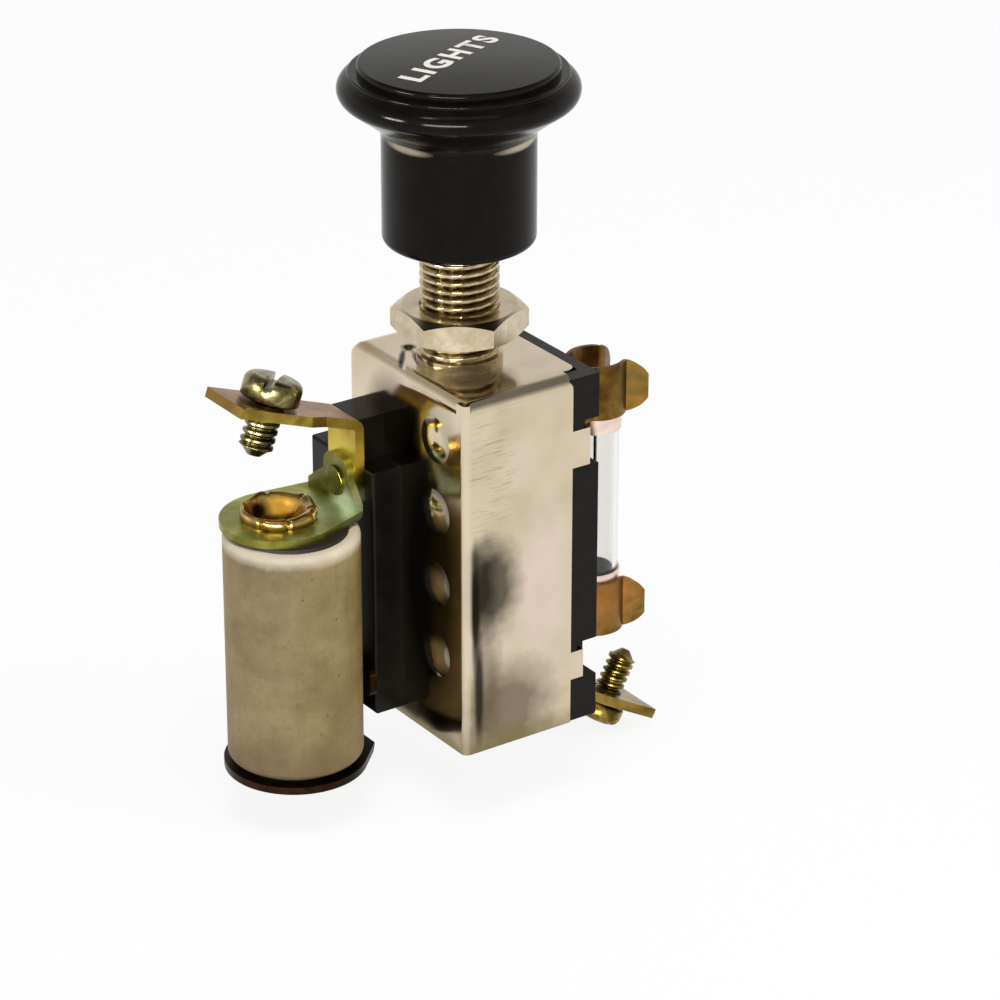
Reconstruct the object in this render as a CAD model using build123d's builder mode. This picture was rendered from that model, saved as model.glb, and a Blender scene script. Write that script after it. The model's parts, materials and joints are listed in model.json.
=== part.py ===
from build123d import *
import os
from math import asin, atan2, cos, degrees, hypot, radians, sin, tan

# Push-pull light switch with a fuse on one side and a dimming resistor on the other.
# Millimetres. The origin is on the shaft axis, on top of the housing, where the panel seats.
# +Z runs up the shaft to the knob, +X is the fuse side and -X is the resistor side.
# A size that ends in _drop is measured down from the top of the housing.

# Folded steel housing, open on the fuse side
sheet = 0.8
housing_width = 15.6
housing_depth = 24.8
housing_height = 46.0
corner_bend = 0.9
top_bend = 1.7
seam_width = 0.3
seam_depth = 0.3
fold_slit_width = 0.5
fold_hole_dia = 1.1
fold_hole_inset = 4.7
fold_hole_y = 6.4
fold_tip_y = 1.7
fold_spread = 1.9
lap_reach = 2.0
lap_end = 2.2
lap_round = 1.2
lap_gap = 0.1

# Detent: round dimples pressed outward in the resistor-side wall, one pitch for each position
dimple_count = 4
detent_clicks = 2
first_dimple_drop = 6.3
last_dimple_rise = 11.5
dimple_y = -6.3
dimple_radius = 2.9
dimple_height = 0.6
ball_dia = 4.4
ball_gap = 0.3
ball_pocket_gap = 0.1

# Threaded bushing, staked into the top of the housing
bushing_dia = 9.525
bushing_length = 14.6
bushing_chamfer = 0.6
collar_dia = 10.4
collar_height = 1.5
neck_dia = 8.4
stake_dia = 11.6
stake_thickness = 1.1
press_gap = 0.02

# Panel nut
nut_across_flats = 14.29
nut_thickness = 3.5
nut_height = 3.7
nut_chamfer = 0.7
nut_turn = 25.0
thread_gap = 0.05

# Shaft
shaft_dia = 4.76
shaft_gap = 0.06
shaft_tenon_dia = 3.2
shaft_head_dia = 5.6
shaft_head_height = 0.8
shaft_insert_depth = 9.0

# Moulded knob on a brass insert
knob_gap = 0.7
knob_height = 22.0
knob_hub_dia = 18.3
knob_flange_dia = 28.5
knob_plateau_dia = 23.8
knob_ledge_dia = 26.0
knob_flange_drop = 3.2
knob_ledge_drop = 1.5
knob_step_drop = 1.0
knob_flange_round = 1.6
knob_underside_slope = 36.0
knob_dome = 0.35
knob_rim_round = 0.4
knob_ledge_round = 0.2
knob_hub_fillet = 2.2
knob_hub_round = 0.9
insert_dia = 8.0
insert_flange_dia = 9.6
insert_flange_height = 1.0
insert_length = 12.0
insert_bore_spare = 0.8

# Carriage that slides inside the housing
carriage_depth_gap = 0.35
carriage_resistor_gap = 1.85
carriage_fuse_gap = 1.75
carriage_over_ball = 3.2
carriage_under_ball = 4.6
carriage_round = 0.8
detent_slot_depth = 1.5
detent_strip = 0.3
detent_strip_width = 3.0
detent_strip_overhang = 1.2

# Contacts
contact_strip = 0.5
contact_width = 3.0
contact_y = 8.3
contact_touch_gap = 0.15
contact_button_dia = 2.2
contact_over_bottom = 2.5
contact_finger_spare = 1.6
liner_thickness = 0.5
liner_near_y = 0.8
liner_edge_gap = 0.4
pad_near_y = 2.2
pad_far_y = 10.2
pad_leg_width = 2.8
pad_spare = 3.0
bright_pad_near_y = 3.8
rail_near_y = 6.5
rail_arm_height = 3.8
rail_end_spare = 2.4
link_width = 3.8

# Fuse board, held by tabs of the housing that are crimped into its notches
fuse_board_thickness = 3.8
fuse_board_end_gap = 0.2
notch_gap = 0.12
tab_lip = 1.4
upper_tab_drop = 9.4
upper_tab_height = 4.8
upper_tab_reach = 2.55
lower_tab_rise = 7.7
lower_tab_height = 3.7
lower_tab_reach = 1.85
ledge_spare = 0.6
ledge_over_tab = 1.0

# Glass fuse and its two clips
fuse_dia = 6.35
fuse_length = 31.75
fuse_glass_dia = 5.9
fuse_glass_wall = 0.6
fuse_cap_length = 6.4
fuse_cap_end = 0.3
fuse_cap_gap = 0.02
fuse_wire_dia = 0.4
fuse_top_drop = 4.0
fuse_y = -6.1
fuse_stand_off = 4.1
clip_sheet = 0.5
clip_gap = 0.05
clip_height = 6.9
clip_upper_inset = 0.8
clip_lower_inset = 2.0
clip_waist_angle = 50.0
clip_root_angle = -45.0
clip_waist_round = 1.6
clip_tip_reach = 9.1
clip_tip_half_gap = 3.9
clip_base_half_width = 2.45
clip_tip_round = 3.3
rivet_dia = 2.6
rivet_head_dia = 3.8
rivet_head_height = 0.4
rivet_head_round = 0.15
rivet_gap = 0.05

# Resistor board
resistor_board_thickness = 4.1
resistor_board_near_y = 1.0
resistor_board_far_y = 14.7
resistor_board_top_drop = 12.4
resistor_board_bottom_rise = 1.2
board_step_near_y = 4.6
board_step_far_y = 10.4
board_step_top_drop = 6.8
board_round = 0.4

# Resistor: a ceramic tube between two brackets on a rolled eyelet
ceramic_dia = 16.6
ceramic_top_drop = 18.5
ceramic_bottom_fall = 2.3
ceramic_bore = 13.0
ceramic_edge_round = 0.8
ceramic_tab_gap = 0.2
ceramic_y = 4.4
washer_thickness = 0.5
washer_inset = 1.4
eyelet_shift_x = -0.8
eyelet_shift_y = 1.4
eyelet_dia = 7.4
eyelet_wall = 0.4
eyelet_roll_dia = 1.4
coil_wire_dia = 0.6
coil_turns = 9
coil_pitch = 2.8
coil_bore_gap = 0.2
bracket_sheet = 0.95
upper_bracket_radius = 7.2
lower_bracket_radius = 8.8
bracket_near_y = 1.3
bracket_far_y = 12.0
bracket_bend = 0.8
head_tab_top_width = 5.4
head_tab_top_drop = 11.0
head_tab_shoulder = 2.6
head_tab_round = 2.0
foot_tab_top_rise = 7.4
foot_tab_near_y = 0.6
foot_tab_neck_y = 4.4
foot_tab_head = 3.6
foot_tab_round = 1.0

# Screw terminals
terminal_sheet = 1.25
terminal_width = 8.0
terminal_leg_width = 6.0
upper_terminal_reach = 17.2
lower_terminal_reach = 15.2
terminal_wide_from = 5.2
terminal_taper = 2.6
terminal_bend = 1.6
upper_screw_reach = 11.4
lower_screw_reach = 10.5
upper_terminal_y = 5.8
upper_terminal_bend_drop = 6.2
upper_terminal_leg = 10.4
upper_terminal_slope = 20.0
lower_terminal_y = 0.0
lower_terminal_bend_fall = 0.5
lower_terminal_leg = 7.4
lower_terminal_slope = 29.0
upper_rivet_drop = 14.4
lower_rivet_rise = 5.0
lower_rivet_y = 8.6
supply_rivet_rise = 4.4
fixing_rivet_dia = 2.0
fixing_rivet_head_dia = 3.6
fixing_rivet_y = 9.0
fixing_rivet_insets = (9.6, 12.8)
window_gap = 1.3

# Terminal screws
upper_screw_dia = 4.17
upper_screw_head_dia = 7.2
upper_screw_head_height = 2.9
upper_screw_length = 7.2
upper_screw_lift = 0.4
lower_screw_dia = 3.5
lower_screw_head_dia = 5.9
lower_screw_head_height = 2.3
lower_screw_length = 7.4
lower_screw_lift = 0.5
screw_slot_width = 1.2
screw_slot_depth = 1.3
screw_head_round = 1.1
screw_tip_chamfer = 0.9

# Places worked out from the sizes above
half_width = housing_width / 2
half_depth = housing_depth / 2
wall_inside = -half_width + sheet
board_inside = half_width
board_outside = half_width + fuse_board_thickness
resistor_face = -half_width - resistor_board_thickness
dimple_span = housing_height - first_dimple_drop - last_dimple_rise
detent_pitch = dimple_span / (dimple_count - 1)
travel = detent_pitch * detent_clicks
knob_bottom = bushing_length + knob_gap
knob_top = knob_bottom + knob_height
lower_ball_z = -first_dimple_drop - detent_pitch * (dimple_count - 1)
upper_ball_z = lower_ball_z + detent_pitch
ball_x = wall_inside + ball_gap + ball_dia / 2
carriage_left = wall_inside + carriage_resistor_gap
carriage_right = board_inside - carriage_fuse_gap
carriage_top = upper_ball_z + carriage_over_ball
carriage_bottom = lower_ball_z - carriage_under_ball
off_z = carriage_bottom + contact_over_bottom
dim_z = off_z + detent_pitch
bright_z = off_z + travel
liner_inside = wall_inside + liner_thickness
strip_inside = liner_inside + contact_strip
rail_inside = board_inside - contact_strip
fuse_x = board_outside + fuse_stand_off
fuse_bottom_drop = fuse_top_drop + fuse_length
clip_drops = (fuse_top_drop + clip_upper_inset, fuse_bottom_drop - clip_lower_inset)
resistor_board_bottom_drop = housing_height - resistor_board_bottom_rise
ceramic_x = resistor_face - bracket_sheet - ceramic_tab_gap - ceramic_dia / 2
ceramic_bottom_drop = housing_height + ceramic_bottom_fall
ceramic_length = ceramic_bottom_drop - ceramic_top_drop
upper_plate_drop = ceramic_top_drop - washer_thickness
lower_plate_drop = ceramic_bottom_drop + washer_thickness
eyelet_x = ceramic_x + eyelet_shift_x
eyelet_y = ceramic_y + eyelet_shift_y
upper_tab_seat = resistor_face - terminal_sheet
upper_rivet = (upper_terminal_y, -upper_rivet_drop)
lower_rivet = (lower_rivet_y, -housing_height + lower_rivet_rise)
supply_rivet = (lower_terminal_y, -housing_height + supply_rivet_rise)
fixing_rivets = [
    (fixing_rivet_y, -resistor_board_top_drop - fixing_rivet_insets[0]),
    (fixing_rivet_y, -resistor_board_bottom_drop + fixing_rivet_insets[1]),
]
crimp_tabs = (
    (-upper_tab_drop, upper_tab_height, upper_tab_reach),
    (-housing_height + lower_tab_rise, lower_tab_height, lower_tab_reach),
)
clip_rivets = [(fuse_y, -drop) for drop in clip_drops]
rivet_hole = rivet_dia / 2 + rivet_gap
fixing_hole = fixing_rivet_dia / 2 + rivet_gap

os.makedirs("parts", exist_ok=True)


def save(part, name):
    """Give a finished piece its name and write it."""
    part.label = name
    export_step(part, f"parts/{name}.step")


def across_x(x):
    """The plane at x whose own axes are +Y and +Z, facing +X."""
    return Plane(origin=(x, 0, 0), x_dir=(0, 1, 0), z_dir=(1, 0, 0))


def across_y(y):
    """The plane at y whose own axes are +X and +Z, facing -Y."""
    return Plane(origin=(0, y, 0), x_dir=(1, 0, 0), z_dir=(0, -1, 0))


def band(x_from, x_to, y_from, y_to):
    """A rectangle between two limits each way, in the sketch being drawn."""
    with Locations(((x_from + x_to) / 2, (y_from + y_to) / 2)):
        Rectangle(abs(x_to - x_from), abs(y_to - y_from))


def cap_face(x, z, radius, height):
    """Half the section of a shallow round cap that stands out of x towards -X."""
    sphere = (radius**2 + height**2) / (2 * height)
    half_angle = asin(radius / sphere) / 2
    centre = x - height + sphere
    middle = (centre - sphere * cos(half_angle), z + sphere * sin(half_angle))
    with BuildLine() as outline:
        Line((x, z), (x, z + radius))
        ThreePointArc((x, z + radius), middle, (x - height, z))
        Line((x - height, z), (x, z))
    make_face(outline.edges())


# Housing: one folded sheet, with its seam along the top edge on the resistor side
with BuildPart() as housing:
    with BuildSketch(Plane.XY.offset(-housing_height)):
        Rectangle(housing_width, housing_depth)
    extrude(amount=housing_height)
    fillet(housing.edges().filter_by(Axis.Z).group_by(Axis.X)[0], corner_bend)
    front_top_edge = housing.edges().filter_by(Axis.X).group_by(Axis.Z)[-1].sort_by(Axis.Y)[0]
    fillet(front_top_edge, top_bend)
    offset(amount=-sheet, openings=housing.faces().sort_by(Axis.X)[-1])
    # square corner of the side wall, past the bend of the top panel
    with BuildSketch(Plane.XY) as wall_corner:
        band(-half_width, -half_width + sheet, -half_depth, -half_depth + top_bend)
        corner = wall_corner.vertices().sort_by_distance((-half_width, -half_depth))[0]
        fillet(corner, sheet - seam_width / 3)
    extrude(amount=-top_bend)
    # lap of the top panel that holds the top of the fuse board
    with BuildSketch(Plane.XY) as lap:
        band(half_width, half_width + lap_reach, -half_depth + lap_end, half_depth - lap_end)
        fillet(lap.vertices().group_by(Axis.X)[-1], lap_round)
    extrude(amount=-sheet)
    # dimples, pressed outward with their hollows inside
    for index in range(dimple_count):
        dimple_z = -first_dimple_drop - index * detent_pitch
        dimple_axis = Axis((0, dimple_y, dimple_z), (1, 0, 0))
        with BuildSketch(across_y(dimple_y)):
            cap_face(-half_width, dimple_z, dimple_radius, dimple_height)
        revolve(axis=dimple_axis)
        with BuildSketch(across_y(dimple_y)):
            cap_face(wall_inside, dimple_z, dimple_radius - sheet / 2, dimple_height)
        revolve(axis=dimple_axis, mode=Mode.SUBTRACT)
    # hole for the neck of the bushing
    with BuildSketch(Plane.XY):
        Circle(neck_dia / 2 + press_gap)
    extrude(amount=-sheet, mode=Mode.SUBTRACT)
    # seam beside the top panel, and the two slits of the lanced fold that run from their hole
    fold_hole = (-half_width + fold_hole_inset, fold_hole_y)
    seam_x = -half_width + sheet + seam_width / 2
    with BuildSketch(Plane.XY):
        with Locations((seam_x, 0)):
            Rectangle(seam_width, housing_depth - 2 * corner_bend)
        with Locations(fold_hole):
            Circle(fold_hole_dia / 2)
        for tip_x in (seam_x, seam_x + fold_spread):
            run_x = tip_x - fold_hole[0]
            run_y = fold_tip_y - fold_hole[1]
            middle = ((tip_x + fold_hole[0]) / 2, (fold_tip_y + fold_hole[1]) / 2)
            with Locations(Location(middle, degrees(atan2(run_y, run_x)))):
                Rectangle(hypot(run_x, run_y), fold_slit_width)
    extrude(amount=-seam_depth, mode=Mode.SUBTRACT)
    # clearance windows round the contact rivets, and holes for the fixing rivets
    with BuildSketch(across_x(-half_width)):
        with Locations(upper_rivet, lower_rivet):
            Circle(rivet_dia / 2 + window_gap)
        with Locations(fixing_rivets):
            Circle(fixing_hole)
    extrude(amount=sheet, mode=Mode.SUBTRACT)
    # crimp tabs on both open edges, with their ends turned in over the ledges of the board
    for side in (-1, 1):
        for tab_z, tab_height, tab_reach in crimp_tabs:
            with BuildSketch(Plane.XY.offset(tab_z)):
                edge = side * half_depth
                tip = half_width + tab_reach
                band(half_width, tip, edge, edge - side * sheet)
                band(tip - sheet, tip, edge, edge - side * (sheet + tab_lip))
            extrude(amount=tab_height / 2, both=True)
save(housing.part, "housing")

# Bushing: turned, threaded outside, with a running bore for the shaft
with BuildPart() as bushing:
    with BuildSketch(Plane.XY.offset(-sheet - stake_thickness)):
        Circle(stake_dia / 2)
    extrude(amount=stake_thickness)
    with BuildSketch(Plane.XY.offset(-sheet)):
        Circle(neck_dia / 2)
    extrude(amount=sheet)
    with BuildSketch(Plane.XY):
        Circle(collar_dia / 2)
    extrude(amount=collar_height)
    with BuildSketch(Plane.XY.offset(collar_height)):
        Circle(bushing_dia / 2)
    extrude(amount=bushing_length - collar_height)
    chamfer(bushing.edges().group_by(Axis.Z)[-1], bushing_chamfer)
    Hole(shaft_dia / 2 + shaft_gap)
save(bushing.part, "bushing")

# Panel nut: a hexagon with both ends turned to a chamfer
with BuildPart() as panel_nut:
    with BuildSketch(Plane.XY.offset(nut_height)):
        RegularPolygon(nut_across_flats / 2, 6, major_radius=False, rotation=nut_turn)
        Circle(bushing_dia / 2 + thread_gap, mode=Mode.SUBTRACT)
    extrude(amount=nut_thickness)
    with BuildSketch(across_y(0)):
        nut_corner = nut_across_flats / 2 / cos(radians(30))
        nut_top = nut_height + nut_thickness
        flat = nut_corner - 2 * nut_chamfer
        with BuildLine():
            Polyline(
                (0, nut_height),
                (flat, nut_height),
                (nut_corner, nut_height + nut_chamfer),
                (nut_corner, nut_top - nut_chamfer),
                (flat, nut_top),
                (0, nut_top),
                close=True,
            )
        make_face()
    revolve(axis=Axis.Z, mode=Mode.INTERSECT)
save(panel_nut.part, "panel_nut")

# Knob: plateau, ledge and rounded flange over a plain hub, turned from one section
with BuildPart() as knob:
    hub = knob_hub_dia / 2
    plateau = knob_plateau_dia / 2
    ledge = knob_ledge_dia / 2
    step_z = knob_top - knob_step_drop
    ledge_z = knob_top - knob_ledge_drop
    flange_z = knob_top - knob_flange_drop
    roll_r = knob_flange_dia / 2 - knob_flange_round
    cone_start = (
        roll_r + knob_flange_round * sin(radians(knob_underside_slope)),
        flange_z - knob_flange_round * cos(radians(knob_underside_slope)),
    )
    hub_top = (hub, cone_start[1] - (cone_start[0] - hub) * tan(radians(knob_underside_slope)))
    with BuildSketch(across_y(0)) as knob_section:
        with BuildLine():
            ThreePointArc(
                (0, knob_top + knob_dome),
                (plateau / 2, knob_top + 0.75 * knob_dome),
                (plateau, knob_top),
            )
            Polyline((plateau, knob_top), (plateau, step_z), (ledge, step_z), (ledge, ledge_z))
            ThreePointArc((ledge, ledge_z), (knob_flange_dia / 2, flange_z), cone_start)
            Polyline(cone_start, hub_top, (hub, knob_bottom), (0, knob_bottom))
            Line((0, knob_bottom), (0, knob_top + knob_dome))
        make_face()
        for point, radius in (
            ((plateau, knob_top), knob_rim_round),
            ((ledge, step_z), knob_ledge_round),
            (hub_top, knob_hub_fillet),
            ((hub, knob_bottom), knob_hub_round),
        ):
            fillet(knob_section.vertices().sort_by_distance(point)[0], radius)
    revolve(axis=Axis.Z)
    with BuildSketch(Plane.XY.offset(knob_bottom)):
        Circle(insert_flange_dia / 2 + press_gap)
    extrude(amount=insert_flange_height + press_gap, mode=Mode.SUBTRACT)
    with BuildSketch(Plane.XY.offset(knob_bottom)):
        Circle(insert_dia / 2 + press_gap)
    extrude(amount=insert_length + press_gap, mode=Mode.SUBTRACT)
save(knob.part, "knob")

# Brass insert, with a blind threaded hole for the shaft
with BuildPart() as knob_insert:
    with BuildSketch(Plane.XY.offset(knob_bottom)):
        Circle(insert_dia / 2)
    extrude(amount=insert_length)
    with BuildSketch(Plane.XY.offset(knob_bottom)):
        Circle(insert_flange_dia / 2)
    extrude(amount=insert_flange_height)
    with BuildSketch(Plane.XY.offset(knob_bottom)):
        Circle(shaft_dia / 2 + thread_gap)
    extrude(amount=shaft_insert_depth + insert_bore_spare, mode=Mode.SUBTRACT)
save(knob_insert.part, "knob_insert")

# Shaft: its shoulder seats on the carriage, and its tenon is headed over underneath
with BuildPart() as shaft:
    with BuildSketch(Plane.XY.offset(carriage_top)):
        Circle(shaft_dia / 2)
    extrude(amount=knob_bottom + shaft_insert_depth - carriage_top)
    chamfer(shaft.edges().group_by(Axis.Z)[-1], shaft_gap * 5)
    with BuildSketch(Plane.XY.offset(carriage_bottom)):
        Circle(shaft_tenon_dia / 2)
    extrude(amount=carriage_top - carriage_bottom)
    with BuildSketch(Plane.XY.offset(carriage_bottom - shaft_head_height)):
        Circle(shaft_head_dia / 2)
    extrude(amount=shaft_head_height)
save(shaft.part, "shaft")

# Carriage: moulded block with two ball pockets and a slot behind them for the detent strip
pocket_back = ball_x + ball_dia / 2
slot_back = pocket_back + detent_slot_depth
strip_low = lower_ball_z - detent_strip_overhang
strip_high = upper_ball_z + detent_strip_overhang
with BuildPart() as carriage:
    with BuildSketch(Plane.XY.offset(carriage_bottom)):
        inner_half = half_depth - sheet - carriage_depth_gap
        band(carriage_left, carriage_right, -inner_half, inner_half)
    extrude(amount=carriage_top - carriage_bottom)
    fillet(carriage.edges().filter_by(Axis.Z), carriage_round)
    with BuildSketch(Plane.XY.offset(carriage_bottom)):
        Circle(shaft_tenon_dia / 2 + press_gap)
    extrude(amount=carriage_top - carriage_bottom, mode=Mode.SUBTRACT)
    with BuildSketch(across_x(carriage_left)):
        with Locations((dimple_y, lower_ball_z), (dimple_y, upper_ball_z)):
            Circle(ball_dia / 2 + ball_pocket_gap)
    extrude(amount=pocket_back - carriage_left, mode=Mode.SUBTRACT)
    with BuildSketch(across_x(pocket_back)):
        slot_half = detent_strip_width / 2 + ball_pocket_gap
        slot_spare = detent_strip_overhang + ball_pocket_gap
        band(
            dimple_y - slot_half,
            dimple_y + slot_half,
            lower_ball_z - slot_spare,
            upper_ball_z + slot_spare,
        )
    extrude(amount=detent_slot_depth, mode=Mode.SUBTRACT)
save(carriage.part, "carriage")

# Detent balls, and the bowed strip that presses them out
for name, ball_z in (("detent_ball_lower", lower_ball_z), ("detent_ball_upper", upper_ball_z)):
    with BuildPart() as ball:
        with Locations((ball_x, dimple_y, ball_z)):
            Sphere(ball_dia / 2)
    save(ball.part, name)

with BuildPart() as detent_spring:
    with BuildSketch(across_y(dimple_y)):
        bow_front = pocket_back + ball_pocket_gap / 2
        bow_back = slot_back - detent_strip - ball_pocket_gap
        bow_middle = (strip_low + strip_high) / 2
        ends = ((bow_front, strip_low), (bow_front, strip_high))
        with BuildLine():
            for shift in (0, detent_strip):
                ThreePointArc(
                    (bow_front + shift, strip_low),
                    (bow_back + shift, bow_middle),
                    (bow_front + shift, strip_high),
                )
            for end_x, end_z in ends:
                Line((end_x, end_z), (end_x + detent_strip, end_z))
        make_face()
    extrude(amount=detent_strip_width / 2, both=True)
save(detent_spring.part, "detent_spring")

# Bridging contact: a strip under the carriage with a finger and a button on each side
with BuildPart() as contact_bridge:
    finger_top = off_z + contact_finger_spare
    with BuildSketch(across_y(contact_y)):
        under = carriage_bottom - contact_strip
        band(carriage_left - contact_strip, carriage_right + contact_strip, under, carriage_bottom)
        band(carriage_left - contact_strip, carriage_left, under, finger_top)
        band(carriage_right, carriage_right + contact_strip, under, finger_top)
    extrude(amount=contact_width / 2, both=True)
    for button_from, button_to in (
        (strip_inside + contact_touch_gap, carriage_left - contact_strip),
        (carriage_right + contact_strip, rail_inside - contact_touch_gap),
    ):
        with BuildSketch(across_x(button_from)):
            with Locations((contact_y, off_z)):
                Circle(contact_button_dia / 2)
        extrude(amount=button_to - button_from)
save(contact_bridge.part, "contact_bridge")

# Insulating liner inside the resistor-side wall
with BuildPart() as liner:
    with BuildSketch(across_x(wall_inside)):
        band(
            liner_near_y,
            half_depth - sheet - liner_edge_gap,
            -housing_height + sheet + liner_edge_gap,
            -sheet - liner_edge_gap - stake_thickness,
        )
        with Locations(upper_rivet, lower_rivet):
            Circle(rivet_hole, mode=Mode.SUBTRACT)
    extrude(amount=liner_thickness)
save(liner.part, "liner")

# Fixed contacts on the liner: the dim one runs round the off position of the button
with BuildPart() as dim_contact:
    with BuildSketch(across_x(liner_inside)):
        foot_bottom = lower_rivet[1] - link_width / 2
        pad_top = dim_z + pad_spare
        band(pad_near_y, pad_far_y, foot_bottom, lower_rivet[1] + link_width / 2)
        band(pad_near_y, pad_near_y + pad_leg_width, foot_bottom, pad_top)
        band(pad_near_y, pad_far_y, dim_z - pad_spare, pad_top)
        with Locations(lower_rivet):
            Circle(rivet_hole, mode=Mode.SUBTRACT)
    extrude(amount=contact_strip)
save(dim_contact.part, "dim_contact")

with BuildPart() as bright_contact:
    with BuildSketch(across_x(liner_inside)):
        pad_top = upper_rivet[1] + link_width / 2
        band(bright_pad_near_y, pad_far_y, bright_z - pad_spare, pad_top)
        with Locations(upper_rivet):
            Circle(rivet_hole, mode=Mode.SUBTRACT)
    extrude(amount=contact_strip)
save(bright_contact.part, "bright_contact")

# Feed rail from the upper fuse clip, and the link from the supply terminal to the lower clip
with BuildPart() as feed_rail:
    with BuildSketch(across_x(rail_inside)):
        arm_top = -clip_drops[0] + rail_arm_height / 2
        band(fuse_y - link_width / 2, pad_far_y, arm_top - rail_arm_height, arm_top)
        band(rail_near_y, pad_far_y, off_z - rail_end_spare, arm_top)
        with Locations(clip_rivets[0]):
            Circle(rivet_hole, mode=Mode.SUBTRACT)
    extrude(amount=contact_strip)
save(feed_rail.part, "feed_rail")

with BuildPart() as supply_link:
    with BuildSketch(across_x(rail_inside)):
        with Locations(clip_rivets[1], supply_rivet):
            Circle(link_width / 2)
        make_hull()
        with Locations(clip_rivets[1], supply_rivet):
            Circle(rivet_hole, mode=Mode.SUBTRACT)
    extrude(amount=contact_strip)
save(supply_link.part, "supply_link")

# Fuse board, notched for the crimp tabs, with ledges for their ends
with BuildPart() as fuse_board:
    with BuildSketch(across_x(board_inside)):
        band(
            -half_depth,
            half_depth,
            -housing_height + fuse_board_end_gap,
            -fuse_board_end_gap,
        )
        with Locations(*clip_rivets, supply_rivet):
            Circle(rivet_hole, mode=Mode.SUBTRACT)
    extrude(amount=fuse_board_thickness)
    with BuildSketch(across_x(board_inside)):
        lap_half = half_depth - lap_end + lap_gap
        band(-lap_half, lap_half, -sheet - lap_gap, 0)
    extrude(amount=lap_reach + lap_gap, mode=Mode.SUBTRACT)
    for side in (-1, 1):
        edge = side * half_depth
        inner = edge - side * (sheet + tab_lip + ledge_spare)
        for tab_z, tab_height, tab_reach in crimp_tabs:
            low = tab_z - tab_height / 2 - notch_gap
            high = tab_z + tab_height / 2 + notch_gap
            with BuildSketch(across_x(board_inside)):
                band(edge, edge - side * (sheet + notch_gap), low, high)
            extrude(amount=fuse_board_thickness, mode=Mode.SUBTRACT)
            with BuildSketch(across_x(half_width + tab_reach - sheet - notch_gap)):
                band(edge, inner, low, high + ledge_over_tab)
            extrude(amount=fuse_board_thickness, mode=Mode.SUBTRACT)
save(fuse_board.part, "fuse_board")


def rivet(seat_x, outward, place, grip, dia=rivet_dia, head_dia=rivet_head_dia):
    """A rivet along X: its head stands outward of seat_x, and its shank ends flush inside."""
    plane = Plane(origin=(seat_x, *place), x_dir=(0, 1, 0), z_dir=(outward, 0, 0))
    with BuildPart() as body:
        with BuildSketch(plane):
            Circle(head_dia / 2)
        extrude(amount=rivet_head_height)
        fillet(body.edges().sort_by(Axis.X)[-1 if outward > 0 else 0], rivet_head_round)
        with BuildSketch(plane):
            Circle(dia / 2)
        extrude(amount=-grip)
    return body.part


# Fuse clips: bent from strip, sprung round the fuse caps and flared at their tips
def fuse_clip(drop):
    """One clip, its middle the given drop below the top of the housing."""
    inner = fuse_dia / 2 + clip_gap
    base_x = board_outside + clip_sheet
    waist = radians(clip_waist_angle)
    root = radians(clip_root_angle)
    bulge = (root + waist) / 2
    tip_x = board_outside + clip_tip_reach
    crease = (fuse_x + inner * sin(waist), fuse_y - inner * cos(waist))
    with BuildPart() as clip:
        with BuildSketch(Plane.XY.offset(-drop - clip_height / 2)) as plan:
            with BuildLine():
                Polyline(
                    (base_x, fuse_y),
                    (base_x, fuse_y - clip_base_half_width),
                    (fuse_x + inner * sin(root), fuse_y - inner * cos(root)),
                )
                ThreePointArc(
                    (fuse_x + inner * sin(root), fuse_y - inner * cos(root)),
                    (fuse_x + inner * sin(bulge), fuse_y - inner * cos(bulge)),
                    crease,
                )
                Line(crease, (tip_x, fuse_y - clip_tip_half_gap))
                offset(amount=clip_sheet, side=Side.RIGHT)
            make_face()
            for bend, radius in zip(
                plan.vertices().sort_by_distance(crease)[:2],
                (clip_waist_round, clip_waist_round - clip_sheet),
            ):
                fillet(bend, radius)
            mirror(about=Plane.XZ.offset(-fuse_y))
        extrude(amount=clip_height)
        with BuildSketch(across_y(fuse_y)) as outline:
            band(board_outside, tip_x, -drop - clip_height / 2, -drop + clip_height / 2)
            fillet(outline.vertices().group_by(Axis.X)[-1], clip_tip_round)
        extrude(amount=half_depth, both=True, mode=Mode.INTERSECT)
        with BuildSketch(across_x(board_outside)):
            with Locations((fuse_y, -drop)):
                Circle(rivet_hole)
        extrude(amount=clip_sheet, mode=Mode.SUBTRACT)
    return clip.part


for name, drop, place in (
    ("upper", clip_drops[0], clip_rivets[0]),
    ("lower", clip_drops[1], clip_rivets[1]),
):
    save(fuse_clip(drop), f"fuse_clip_{name}")
    clip_seat = board_outside + clip_sheet
    save(rivet(clip_seat, 1, place, clip_seat - rail_inside), f"fuse_clip_rivet_{name}")

# Glass fuse: tube, two caps and the wire
fuse_axis = Plane(origin=(fuse_x, fuse_y, 0))
with BuildPart() as fuse_tube:
    with BuildSketch(fuse_axis.offset(-fuse_bottom_drop + fuse_cap_end)):
        Circle(fuse_glass_dia / 2)
        Circle(fuse_glass_dia / 2 - fuse_glass_wall, mode=Mode.SUBTRACT)
    extrude(amount=fuse_length - 2 * fuse_cap_end)
save(fuse_tube.part, "fuse_tube")

for name, end_drop, inward in (("upper", fuse_top_drop, -1), ("lower", fuse_bottom_drop, 1)):
    with BuildPart() as cap:
        with BuildSketch(fuse_axis.offset(-end_drop)):
            Circle(fuse_dia / 2)
        extrude(amount=inward * fuse_cap_length)
        rims = cap.edges().filter_by(GeomType.CIRCLE)
        fillet(rims.sort_by_distance((fuse_x, fuse_y, -end_drop))[0], fuse_cap_end)
        with BuildSketch(fuse_axis.offset(-end_drop + inward * fuse_cap_end)):
            Circle(fuse_glass_dia / 2 + fuse_cap_gap)
        extrude(amount=inward * fuse_cap_length, mode=Mode.SUBTRACT)
    save(cap.part, f"fuse_cap_{name}")

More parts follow.
